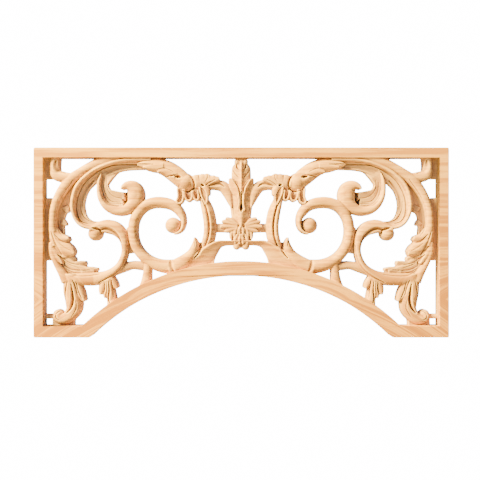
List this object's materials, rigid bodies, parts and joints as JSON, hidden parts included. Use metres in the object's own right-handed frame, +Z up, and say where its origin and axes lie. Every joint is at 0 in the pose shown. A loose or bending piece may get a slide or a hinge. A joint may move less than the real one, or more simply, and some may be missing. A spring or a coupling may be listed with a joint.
{
  "type": "carved wood applique",
  "caption": "Openwork carved wood applique: a flat frame with an arched bottom rail, filled with mirrored acanthus scrolls about a bellflower.",
  "frame": {"origin": "the middle of the panel's length and height, on its flat back", "axes": "+X to the right along the panel's length as seen from its carved side, +Y out of the flat back, +Z up towards the straight top rail; the carved side faces -Y"},
  "size_m": [0.33, 0.012, 0.151],
  "materials": {
    "bare_wood": "bare sanded pale hardwood, unstained, satin matte"
  },
  "bodies": {
    "root": {"carved_panel": "bare_wood"}
  },
  "joints": []
}
